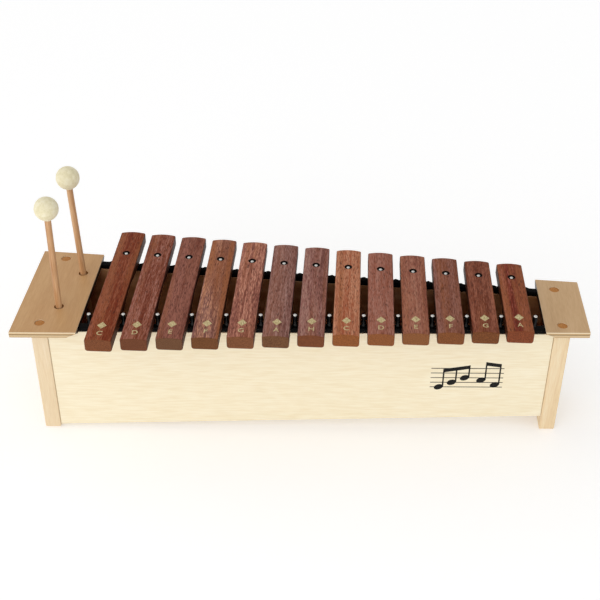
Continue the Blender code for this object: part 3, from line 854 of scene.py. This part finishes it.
def plate_plywood(name, dark, middle, light, seed, inner):
    """Brown-faced plywood: fine grain along y on the face, and the layers by height along the sawn edge, with
    painted shade along its foot and a painted highlight on its top arris.

    The edge beside the bars, at x = inner, is darkened as painted shade of the gap beside the bars.
    """
    finish, tree, place = new_finish(name)
    squeezed = {"Vector": place, "Location": (seed, 0, 0), "Scale": (1, 0.09, 1)}
    grain = add_node(tree, "Mapping", squeezed)
    flecks = add_node(tree, "TexNoise", {"Vector": grain, "Scale": 700, "Detail": 3, "Roughness": 0.6})
    clouds = add_node(tree, "TexNoise", {"Vector": grain, "Scale": 60, "Detail": 2})
    tone = summed(tree, ((clouds, 0.5), (flecks, 0.5)))
    face = add_node(tree, "ValToRGB", {0: tone}, [(0.36, dark), (0.50, middle), (0.64, light)])
    height = add_node(tree, "SeparateXYZ", {0: place}).outputs["Z"]
    ragged = add_node(tree, "TexNoise", {"Vector": place, "Scale": 600, "Detail": 2})
    lifted = add_node(tree, "Math", {0: ragged, 1: 0.25 * MM, 2: height}, operation="MULTIPLY_ADD")
    level = add_node(tree, "MapRange", {0: lifted, 1: PLATE_BOTTOM, 2: PLATE_TOP})
    # From the foot up: painted shade along the lower edge, a pale layer, the glue line, a second pale layer,
    # and a painted highlight along the top arris
    layers = [
        (0.00, "#8f6b42"), (0.10, "#b8925f"), (0.20, "#cdb085"), (0.48, "#d6bc92"), (0.53, "#714f28"),
        (0.62, "#714f28"), (0.66, "#c6a474"), (0.82, "#c9a878"), (0.90, "#f0dfbd"),
    ]
    edge = add_node(tree, "ValToRGB", {0: level}, layers)
    # The face on top is a darker tan than the sawn edge: partly the face layer's own tone, partly painted shade
    # of the top
    arris = {0: height, 1: PLATE_TOP - 0.25 * MM, 2: PLATE_TOP - 0.08 * MM}
    on_top = add_node(tree, "MapRange", arris)
    wood = add_node(tree, "Mix", {0: on_top, 6: edge, 7: face}, data_type="RGBA").outputs[2]
    # Painted shade: the edge beside the bars is darkened below its top arris, as the shade of the gap there
    off_face = distance_from(tree, place, "X", inner)
    at_face = add_node(tree, "MapRange", {0: off_face, 1: 0.5 * MM, 2: 0.2 * MM})
    below = add_node(tree, "MapRange", {0: height, 1: PLATE_TOP - 0.3 * MM, 2: PLATE_TOP - 0.6 * MM})
    painted = add_node(tree, "Math", {0: at_face, 1: below}, operation="MULTIPLY")
    colour = add_node(tree, "Mix", {0: painted, 6: wood, 7: linear("#2a120b")}, data_type="RGBA").outputs[2]
    surface(tree, colour, flecks, (0.52, 0.42), relief=(flecks, 0.12, 0.1 * MM), extra=LACQUER)
    return finish


# Tan tones of the plates' tops, partly painted shade that keeps them darker than the edges
PLATE_TONES = {"left": ("#c0925f", "#c69966", "#cda26f"), "right": ("#bf996d", "#c8a376", "#cfab80")}
PLATE_SEEDS = {"left": 0.3, "right": 1.4}
PLATE_INNER = {"left": PLATES["left"][1].x, "right": PLATES["right"][0].x}
PLATE_WOOD = {
    side: plate_plywood(f"brown_faced_plywood_{side}", *PLATE_TONES[side], PLATE_SEEDS[side], PLATE_INNER[side])
    for side in PLATES
}
print(f"plates {1000 * (PLATE_TOP - PLATE_BOTTOM):.0f} mm thick")

# %% Two plates, cut away under their inner corners
PLATE_ROUND = 0.7 * MM
UNDERCUT_ALONG, UNDERCUT_BACK, LIP = 13 * MM, 10 * MM, 1.8 * MM
PLUG_HOLE, PLUG_FLOOR = 6.4 * MM, PLATE_TOP - 4.6 * MM
MALLET_HOLE = 6.0 * MM


def plate_lines(side):
    """(half depth beyond the pins' line, setback, inner x, outward) of a plate, from its CAD box."""
    low, high = PLATES[side]
    widest = low.x
    setback = (low.y + high.y) / 2
    inner, outward = (high.x, -1) if side == "left" else (low.x, 1)
    return (high.y - low.y) / 2 - long_edge(widest), setback, inner, outward


def undercut_shape(side, row):
    """What is cut from under a corner: a thick slab below the plane through the lip and the cut's two ends."""
    out, setback, inner, outward = plate_lines(side)

    def edge(x):
        return setback + row * long_edge(x, out)

    lip = Vector((inner, edge(inner), PLATE_TOP - LIP))
    foot_x = inner + outward * UNDERCUT_ALONG
    along = Vector((foot_x, edge(foot_x), PLATE_BOTTOM))
    back = Vector((inner, edge(inner) - row * UNDERCUT_BACK, PLATE_BOTTOM))
    across = (back - along).normalized()
    normal = (along - lip).cross(back - lip).normalized()
    normal = normal if normal.z < 0 else -normal
    down = across.cross(normal)
    middle = (along + back) / 2
    reach = 40 * MM
    square = [middle + reach * (a * across + b * down) for a, b in ((-1, -1), (1, -1), (1, 1), (-1, 1))]
    return skin(np.array([[list(p) for p in square], [list(p + reach * normal) for p in square]]))


plug_places = {(side, row): middle_of(f"{side}_{row}_plug") for side in PLATES for row in ROWS}
print("plug centres in mm:", [(round(1000 * p.x), round(1000 * p.y)) for p in plug_places.values()])

# %% Oiled end grain, for the cover plugs and the walls of the mallet holes
plug_wood, plug_tree, plug_place = new_finish("oiled_end_grain_plug")
# Annual layers 1.6 mm apart, as large arcs round a far middle
layers = {"Vector": plug_place, "Scale": 190, "Distortion": 1.5, "Detail": 2, "Detail Scale": 2}
plug_rings = add_node(plug_tree, "TexWave", layers, wave_type="RINGS", rings_direction="Z").outputs[1]
plug_specks = add_node(plug_tree, "TexNoise", {"Vector": plug_place, "Scale": 1400, "Detail": 2})
plug_parts = {0: plug_rings, 1: 0.3, 2: plug_specks}
plug_tone = add_node(plug_tree, "Math", plug_parts, operation="MULTIPLY_ADD")
plug_stops = [(0.35, "#8f5318"), (0.62, "#b06f28"), (0.90, "#c68a40")]
plug_colour = add_node(plug_tree, "ValToRGB", {0: plug_tone}, plug_stops)
surface(plug_tree, plug_colour, plug_specks, (0.65, 0.5))
print("end grain ready")

# %% Holes for plugs and mallets
# Each mallet's lean is that of the joint that draws it out of its hole
MALLET_AXES = {
    row: Vector(joint["axis"]).normalized()
    for row in ROWS
    for joint in frame["joints"]
    if joint["child"] == f"{row}_mallet"
}
HEADS = {row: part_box(f"{row}_mallet_head") for row in ROWS}
HEAD_RADIUS = (HEADS["front"][1].y - HEADS["front"][0].y) / 2
HEAD_MIDDLES = {
    row: Vector(((low.x + high.x) / 2, (low.y + high.y) / 2, high.z - HEAD_RADIUS))
    for row, (low, high) in HEADS.items()
}


def hole_place(row):
    """Where a mallet's axis passes the top of the plate: down from the head's middle along the axis."""
    middle, axis = HEAD_MIDDLES[row], MALLET_AXES[row]
    return middle + axis * ((PLATE_TOP - middle.z) / axis.z)


for side in PLATES:
    out, setback, _, _ = plate_lines(side)
    shape = tapered(*PLATES[side], out, PLATE_ROUND, setback=setback)
    plate = add_piece(
        f"{side}_top_plate_plywood", shape, PLATE_WOOD[side], ROOT,
        replaces=[f"{side}_top_plate"],
    )
    sunk = [plug_places[side, row] for row in ROWS]
    cutters = [undercut_shape(side, row) for row in ROWS.values()]
    cutters.append(shafts(sunk, PLUG_HOLE, PLUG_FLOOR, PLATE_TOP + PAST, 40))
    cut(plate, *cutters)
    if side == "left":
        holes = [hole_place(row) for row in ROWS]
        drills = shafts(holes, MALLET_HOLE, PLATE_BOTTOM - PAST, PLATE_TOP + PAST, 40)
        cut(plate, drills, finish=plug_wood)
    flat_sides(plate)
print("mallet holes at x =", [round(1000 * hole_place(row).x) for row in ROWS], "mm")

# %% [markdown]
# The screws that hold the plates are hidden under wooden plugs, turned across the grain and pressed in just
# below the surface. Cut across, the wood drinks more oil and looks darker, with the annual layers as arcs.

# %% Cover plugs
for (side, row), place in plug_places.items():
    low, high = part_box(f"{side}_{row}_plug")
    radius = (high.x - low.x) / 2
    profile = [
        (0, PLUG_FLOOR + 0.1 * MM),
        (radius, PLUG_FLOOR + 0.1 * MM),
        (radius, high.z - 0.5 * MM),
        (radius - 0.15 * MM, high.z - 0.15 * MM),
        (radius - 0.6 * MM, high.z),
        (0, high.z),
    ]
    name = f"{side}_{row}_plug"
    shape = skin(turned(profile, 40, (place.x, place.y, 0)))
    add_piece(f"{name}_end_grain", shape, plug_wood, ROOT, replaces=[name])
print("plugs", round(2000 * radius, 1), "mm across")

# %% [markdown]
# ## Foam rails
# The bars rest on strips of black foam, where they hardly move when they sound. The bars press the foam down
# and it swells a little between them, so the strip is a rounded rectangle carried along the wall, whose top
# rises in each gap by a bell curve.

# %% Closed-cell foam
# Cells 0.9 mm wide: real ones are about 0.4 mm
foam = mottled(
    "black_foam_rubber",
    "TexVoronoi",
    {"Scale": 1100},
    [(0.0, "#0e0c0c"), (0.6, "#080707"), (1.0, "#040404")],
    gloss=(0.85, 0.95),
    spread=(0, 1),
    relief=(0.5, 0.3 * MM),
    extra=DULL,
)

SWELL, SWELL_WIDTH = 1.9 * MM, 2.2 * MM
FOAM_ROUND = 1.2 * MM
SLEEVE_RADIUS = 3.0 * MM
RAIL_DEEP, RAIL_TOP = 9.6 * MM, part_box("front_foam_rail")[1].z
GAP_X = np.append(BAR_X - PITCH / 2, BAR_X[-1] + PITCH / 2)


def foam_shape(side):
    """A foam strip: a rounded rectangle carried along x, its top raised by a sum of bell curves at the gaps."""
    low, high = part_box("front_foam_rail")
    tall, wide = high.z - low.z, high.x - low.x
    block = rounded_block((tall, RAIL_DEEP, wide), FOAM_ROUND)
    stations = np.linspace(block[3, 0, 2], block[-4, 0, 2], 241)[1:-1]
    along = np.repeat(block[3:4], len(stations), axis=0)
    along[..., 2] = stations[:, None]
    rings = np.concatenate([block[:4], along, block[4:]])
    x = rings[..., 2] + (low.x + high.x) / 2
    bells = np.exp(-(((x[..., None] - GAP_X) / SWELL_WIDTH) ** 2)).sum(-1)
    raised = np.clip(rings[..., 0] / tall + 0.5, 0, 1) * SWELL * bells
    z = rings[..., 0] + (low.z + high.z) / 2 + raised
    return skin(np.stack([x, side * (long_edge(x) + rings[..., 1]), z], axis=-1))


for row, side in ROWS.items():
    rail = add_piece(
        f"{row}_foam_strip", foam_shape(side), foam, ROOT, replaces=[f"{row}_foam_rail"]
    )
    cut(rail, shafts(ROW_PINS[row], SLEEVE_RADIUS, WALL_TOP - PAST, RAIL_TOP + PAST, 24))
print(len(GAP_X), "swellings on each strip")

# %% [markdown]
# ## Pins
# A pin is a round nail with a domed, nickelled head, driven into the wall through a black rubber sleeve that
# keeps the bars from rattling on steel. Nail and sleeve are one turned shape with two finishes.

# %% Nickelled steel and rubber
# Tumbled in the plating drum: soft dents about 1 mm wide
nickel = mottled(
    "nickelled_steel",
    "TexNoise",
    {"Scale": 900, "Detail": 2},
    [(0.3, "#c9c7c1"), (0.7, "#e2e1dd")],
    gloss=(0.16, 0.28),
    extra={"Metallic": 1.0},
)
rubber = mottled(
    "black_rubber_sleeve",
    "TexNoise",
    {"Scale": 500, "Detail": 3},
    [(0.3, "#050505"), (0.7, "#0a0a0b")],
    gloss=(0.22, 0.34),
    extra={"Specular IOR Level": 0.2},
)

PIN_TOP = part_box(PIN_NAMES[0])[1].z
HEAD_DOME, PIN_HEAD_RADIUS = 1.6 * MM, 2.5 * MM
SLEEVE_FOOT = WALL_TOP + 0.2 * MM
head_foot = PIN_TOP - HEAD_DOME
dome_foot = head_foot + 0.25 * MM
dome = np.linspace(0, math.pi / 2, 7)
PIN_PROFILE = [
    (0, WALL_TOP - PIN_BITE + 0.2 * MM),
    (0.1 * MM, WALL_TOP - PIN_BITE + 0.2 * MM),
    (SHANK_RADIUS - 0.1 * MM, WALL_TOP - PIN_BITE + 2 * MM),
    (SHANK_RADIUS - 0.1 * MM, SLEEVE_FOOT),
    (SLEEVE_RADIUS - 0.3 * MM, SLEEVE_FOOT),
    (SLEEVE_RADIUS - 0.1 * MM, SLEEVE_FOOT + 0.3 * MM),
    (SLEEVE_RADIUS - 0.1 * MM, head_foot - 0.9 * MM),
    (SLEEVE_RADIUS - 0.35 * MM, head_foot - 0.5 * MM),
    (SHANK_RADIUS, head_foot - 0.5 * MM),
    (SHANK_RADIUS, head_foot),
    (PIN_HEAD_RADIUS - 0.1 * MM, head_foot),
    *[(PIN_HEAD_RADIUS * math.cos(t), dome_foot + (PIN_TOP - dome_foot) * math.sin(t)) for t in dome],
]
PIN_SIDES = 20
ring_is_rubber = [3 <= number <= 8 for number in range(len(PIN_PROFILE) - 1)]
pin_finish = [int(is_rubber) for is_rubber in ring_is_rubber for _ in range(PIN_SIDES)] + [0, 0]
for name, place in PIN_PLACES.items():
    shape = skin(turned(PIN_PROFILE, PIN_SIDES, (place.x, place.y, 0)))
    add_piece(
        f"{name}_nail", shape, [nickel, rubber], ROOT, replaces=[name], finish_of=pin_finish
    )
print(len(PIN_PLACES), "pins,", len(pin_finish), "faces each")

# %% [markdown]
# ## Mallets
# A mallet is a turned beech rod with a ball of pressed wool felt. Felt is wool fibre matted until it holds its
# shape, so it has no weave, a soft mottled surface and a faint bright edge where single fibres stand off. The
# ball is a sphere that is pushed in and out a little by slow waves, and closes round the stick in a short neck.

# %% Pressed felt
felt, felt_tree, felt_place = new_finish("pressed_wool_felt")
# Tufts 5 mm wide and matted fibres 1 mm wide: single wool fibres are far too fine to show
tufts = add_node(felt_tree, "TexNoise", {"Vector": felt_place, "Scale": 200, "Detail": 2})
fibres = {"Vector": felt_place, "Scale": 1100, "Detail": 4, "Roughness": 0.65, "Distortion": 1.2}
matted = add_node(felt_tree, "TexNoise", fibres)
felt_tone = summed(felt_tree, ((tufts, 0.5), (matted, 0.5)))
felt_stops = [(0.36, "#dfd5ae"), (0.50, "#ece2bf"), (0.64, "#f4edd2")]
felt_colour = add_node(felt_tree, "ValToRGB", {0: felt_tone}, felt_stops)
fuzz = {"Specular IOR Level": 0.1, "Sheen Weight": 0.15, "Sheen Roughness": 0.6}
surface(felt_tree, felt_colour, matted, (0.9, 1.0), (0, 1), (felt_tone, 0.6, 0.5 * MM), fuzz)
STICK_TONES = ("#b07e50", "#c79769", "#dbb184")
MALLET_LEANS = {row: math.atan2(axis.x, axis.z) for row, axis in MALLET_AXES.items()}
STICK_WOOD = {
    row: beech(f"satin_beech_stick_{row}", *STICK_TONES, (1, 1, 0.05), seed, MALLET_LEANS[row])
    for row, seed in zip(MALLET_AXES, (0.2, 0.9))
}
print("felt and stick finishes ready")

# %% Two mallets
STICK_RADIUS = 4.0 * MM
SOCKET_DEPTH, STICK_TIP_ROUND = 18 * MM, 1.6 * MM
NECK_RADIUS = 5.4 * MM
MOST_BUMP = 0.25 * MM


def along_stick(rings, row):
    """Stands a shape made round z = 0 on the mallet's own axis, with its zero at the middle of the head."""
    lean = MALLET_LEANS[row]
    x = rings[..., 0] * math.cos(lean) + rings[..., 2] * math.sin(lean)
    z = rings[..., 2] * math.cos(lean) - rings[..., 0] * math.sin(lean)
    return np.stack([x, rings[..., 1], z], axis=-1) + np.array(HEAD_MIDDLES[row])


def head_shape(row, phase):
    """A felt ball: its radius falls short of the full one by slow sines of both angles.

    The bottom runs out into a neck round the stick. Inside, a blind socket takes the stick.
    """
    socket = STICK_RADIUS + 0.05 * MM
    steps = np.linspace(0, 1, 49)
    start = math.asin(NECK_RADIUS / HEAD_RADIUS)
    angle = start + (math.pi - start) * steps
    radius = HEAD_RADIUS * np.sin(angle)
    height = -HEAD_RADIUS * np.cos(angle)
    neck_foot = height[0] - 0.9 * MM
    around = 64
    turn = np.arange(around) * 2 * math.pi / around
    wave = np.sin(3 * turn[None] + 5 * angle[:, None] + phase) * np.sin(4 * angle[:, None] + 2 * phase)
    wave += 0.6 * np.sin(7 * turn[None] - 9 * angle[:, None] + 3 * phase)
    settle = np.sin(math.pi * steps)[:, None] ** 0.5
    shrink = 1 - MOST_BUMP / HEAD_RADIUS * settle * (0.5 + 0.3 * wave)
    reach = radius[:, None] * shrink
    ball = np.stack([reach * np.cos(turn), reach * np.sin(turn), height[:, None] * shrink], axis=-1)
    roof = SOCKET_DEPTH - HEAD_RADIUS
    inner = turned(
        [(0, roof), (socket, roof), (socket, neck_foot), (NECK_RADIUS - 0.5 * MM, neck_foot),
         (NECK_RADIUS - 0.1 * MM, neck_foot + 0.35 * MM)],
        around,
    )
    return skin(along_stick(np.concatenate([inner, ball]), row))


def stick_shape(row):
    """A turned rod with rounded ends, from inside the head down to the bottom board."""
    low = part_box(f"{row}_mallet_stick")[0]
    axis = MALLET_AXES[row]
    foot = -(HEAD_MIDDLES[row].z - low.z) / axis.z + 0.2 * MM
    top = SOCKET_DEPTH - HEAD_RADIUS - 0.3 * MM
    turn = np.linspace(0, math.pi / 2, 5)
    reach = STICK_RADIUS - STICK_TIP_ROUND
    lower = [(reach + STICK_TIP_ROUND * math.sin(t), foot + STICK_TIP_ROUND * (1 - math.cos(t))) for t in turn]
    upper = [(reach + STICK_TIP_ROUND * math.cos(t), top - STICK_TIP_ROUND * (1 - math.sin(t))) for t in turn]
    return skin(along_stick(turned([(0, foot), *lower, *upper, (0, top)], 40), row))


for row, phase in (("front", 0.4), ("rear", 2.1)):
    body = f"{row}_mallet"
    add_piece(
        f"{body}_rod", stick_shape(row), STICK_WOOD[row], body, replaces=[f"{body}_stick"]
    )
    add_piece(f"{body}_felt", head_shape(row, phase), felt, body, replaces=[f"{body}_head"])
print("heads", round(2000 * HEAD_RADIUS, 1), "mm across")

# %% [markdown]
# ## The mark on the front
# A maker prints something on the front wall. Here it is a plain piece of music: a stave with five notes, in
# black ink. Every part is a flat outline, worked out in the wall's own plane and given the thickness of ink.

# %% Printing ink
# Ink over wood grain is thinner in specks about 1 mm wide
ink = mottled(
    "black_screen_print",
    "TexNoise",
    {"Scale": 1000, "Detail": 2},
    [(0.55, "#070606"), (0.8, "#1c1916")],
    gloss=(0.45, 0.6),
    spread=(0, 1),
    extra={"Specular IOR Level": 0.2},
)

INK = 0.04 * MM
STAVE_LEFT, STAVE_RIGHT, STAVE_MIDDLE = 165 * MM, 257 * MM, 85 * MM
STAVE_SPACE, LINE_THICK = 7.5 * MM, 1.1 * MM


def on_wall(outline, layer):
    """A flat shape on the front wall's outer face, from its outline (x, z). A higher layer lies further out."""
    x, z = np.array(outline, float).T
    face = -long_edge(x, WALL_OUT)
    near = np.column_stack([x, face + INK, z])
    far = np.column_stack([x, face - INK * (1 + layer), z])
    return skin(np.array([near, far]))


def bar_of_ink(left, right, low_left, low_right, thick):
    """A slanting band with upright ends, from (left, low_left) to (right, low_right)."""
    return [(left, low_left), (right, low_right), (right, low_right + thick), (left, low_left + thick)]


def note_head(x, z):
    """A tilted ellipse: (a cos t, b sin t) turned by 22 degrees."""
    turn, tilt = np.linspace(0, 2 * math.pi, 32, endpoint=False), math.radians(22)
    a, b = 6.0 * MM, 4.2 * MM
    across = a * np.cos(turn) * math.cos(tilt) - b * np.sin(turn) * math.sin(tilt)
    upward = a * np.cos(turn) * math.sin(tilt) + b * np.sin(turn) * math.cos(tilt)
    return np.column_stack([x + across, z + upward])


STEM, STEM_THICK, BEAM_THICK = 29 * MM, 1.9 * MM, 5.4 * MM
half_steps = (-4, -2, 0, -1, -3)
note_x = np.array([176, 192, 208, 229, 247]) * MM
note_z = STAVE_MIDDLE + np.array(half_steps) * STAVE_SPACE / 2
stem_x = note_x + 4.2 * MM
printed_shapes = [
    on_wall(bar_of_ink(STAVE_LEFT, STAVE_RIGHT, level, level, LINE_THICK), 0)
    for level in STAVE_MIDDLE + np.arange(-2, 3) * STAVE_SPACE - LINE_THICK / 2
]
printed_shapes += [on_wall(note_head(x, z), 1) for x, z in zip(note_x, note_z)]
beam_tops = np.array([note_z[0] + STEM, note_z[0] + STEM + 3 * MM, note_z[0] + STEM + 6 * MM])
beam_tops = np.append(beam_tops, [note_z[3] + STEM, note_z[3] + STEM - 3 * MM])
printed_shapes += [
    on_wall(bar_of_ink(x, x + STEM_THICK, z, z, top - z), 2) for x, z, top in zip(stem_x, note_z, beam_tops)
]
for first, last in ((0, 2), (3, 4)):
    left, right = stem_x[first], stem_x[last] + STEM_THICK
    low_left, low_right = beam_tops[first] - BEAM_THICK, beam_tops[last] - BEAM_THICK
    band = bar_of_ink(left, right, low_left, low_right, BEAM_THICK)
    printed_shapes.append(on_wall(band, 3))
add_piece("front_wall_print", joined(printed_shapes), ink, ROOT)
print(len(printed_shapes), "printed shapes")
